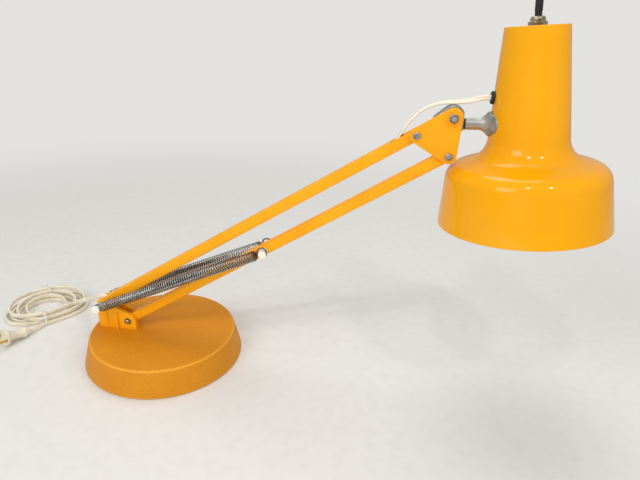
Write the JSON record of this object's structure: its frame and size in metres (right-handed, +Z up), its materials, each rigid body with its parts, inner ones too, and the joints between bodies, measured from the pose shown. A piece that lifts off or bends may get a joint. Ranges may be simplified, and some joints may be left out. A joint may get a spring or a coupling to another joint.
{
  "type": "desk lamp",
  "caption": "Desk lamp with a round weighted foot, a sprung parallel arm of square tubes and a bell-shaped shade that tilts and swivels, with its flex and plug.",
  "frame": {"origin": "centre of the round foot, on the table that it stands on", "axes": "+Z up, +X the way the arm reaches in plan towards the shade, +Y across the arm to the side away from the picture's camera"},
  "size_m": [0.7718, 0.2148, 0.4412],
  "materials": {
    "foot_paint": "fine-textured yellow paint",
    "felt": "black felt pad",
    "zinc": "zinc plated",
    "iron": "raw casting",
    "white_plastic": "moulded",
    "arm_paint": "satin yellow paint",
    "spring_steel": "bright drawn wire",
    "grey_casting": "cast and tumbled",
    "black_rubber": "matt",
    "shade_paint": "gloss yellow enamel",
    "holder_plastic": "moulded",
    "bulb_metal": "pressed",
    "bulb_glass": "frosted",
    "nickel": "aged nickel plate",
    "black_plastic": "moulded",
    "lead_plastic": "ivory flex",
    "plug_plastic": "off-white moulding",
    "pin_brass": "bare"
  },
  "bodies": {
    "base": {"base_cover": "foot_paint", "base_pad": "felt", "base_plate": "zinc", "base_ballast": "iron", "ballast_bolt": "zinc", "arm_bracket": "foot_paint", "bracket_screws": "zinc", "hinge_screw": "zinc", "hinge_nut": "zinc", "anchor_pin": "zinc", "anchor_bushes": "white_plastic", "mains_lead": "lead_plastic", "plug_lead": "lead_plastic", "lead_coil": "lead_plastic", "coil_ties": "white_plastic", "plug_body": "plug_plastic", "plug_pins": "pin_brass"},
    "upper_arm": {"upper_bar": "arm_paint"},
    "lower_arm": {"lower_bar": "arm_paint", "spring_post": "zinc", "post_bushes": "white_plastic"},
    "head": {"head_plate": "arm_paint", "head_bolts": "zinc", "head_nuts": "zinc", "tilt_bolt": "zinc", "tilt_nut": "zinc", "tilt_washer": "zinc", "head_lead": "lead_plastic"},
    "springs": {"spring_near": "spring_steel", "spring_far": "spring_steel"},
    "spring_tops": {"spring_hooks": "spring_steel"},
    "tilt_block": {"knuckle": "grey_casting", "friction_washer": "black_rubber"},
    "shade": {"shade_stub": "grey_casting", "stub_screw": "zinc", "stub_nut": "zinc", "shade_shell": "shade_paint", "lead_grommet": "black_rubber", "lampholder": "holder_plastic", "bulb_cap": "bulb_metal", "bulb_glass": "bulb_glass", "switch_collar": "nickel"},
    "switch_knob": {"switch_stem": "black_plastic"}
  },
  "joints": [
    {"name": "arm_lift", "type": "hinge", "parent": "base", "child": "upper_arm", "pos_m": [-0.078, 0, 0.066], "axis": [0, -1, 0], "range_deg": [-18, 28], "deforming": ["mains_lead"]},
    {"name": "lower_lift", "type": "hinge", "parent": "base", "child": "lower_arm", "pos_m": [-0.04336, 0, 0.046], "axis": [0, -1, 0], "range_deg": [-19, 29]},
    {"name": "head_level", "type": "hinge", "parent": "upper_arm", "child": "head", "pos_m": [0.3011, 0, 0.30845], "axis": [0, -1, 0], "range_deg": [-29, 19], "deforming": ["head_lead"]},
    {"name": "spring_swing", "type": "hinge", "parent": "base", "child": "springs", "pos_m": [-0.078, 0, 0.066], "axis": [0, -1, 0], "range_deg": [-17, 27], "deforming": ["spring_near", "spring_far"]},
    {"name": "spring_stretch", "type": "slide", "parent": "springs", "child": "spring_tops", "axis": [0.9138, 0, 0.4062], "range_m": [-0.02, 0.014], "deforming": ["spring_hooks"]},
    {"name": "shade_tilt", "type": "hinge", "parent": "head", "child": "tilt_block", "pos_m": [0.33574, 0, 0.32845], "axis": [0, -1, 0], "range_deg": [-3, 80]},
    {"name": "shade_swivel", "type": "hinge", "parent": "tilt_block", "child": "shade", "pos_m": [0.33574, 0, 0.32105], "axis": [0.9986, 0, 0.0523], "range_deg": [-90, 90]},
    {"name": "switch_turn", "type": "hinge", "parent": "shade", "child": "switch_knob", "pos_m": [0.41208, 0, 0.32505], "axis": [-0.0906, 0.0523, 0.9945], "range_deg": [0, 90]}
  ],
  "couplings": [
    {"joint": "lower_lift", "follows": "arm_lift", "ratio": 1},
    {"joint": "head_level", "follows": "arm_lift", "ratio": -1},
    {"joint": "spring_swing", "follows": "arm_lift", "ratio": 0.9162},
    {"joint": "spring_stretch", "follows": "arm_lift", "m_per_rad": -0.03435}
  ]
}
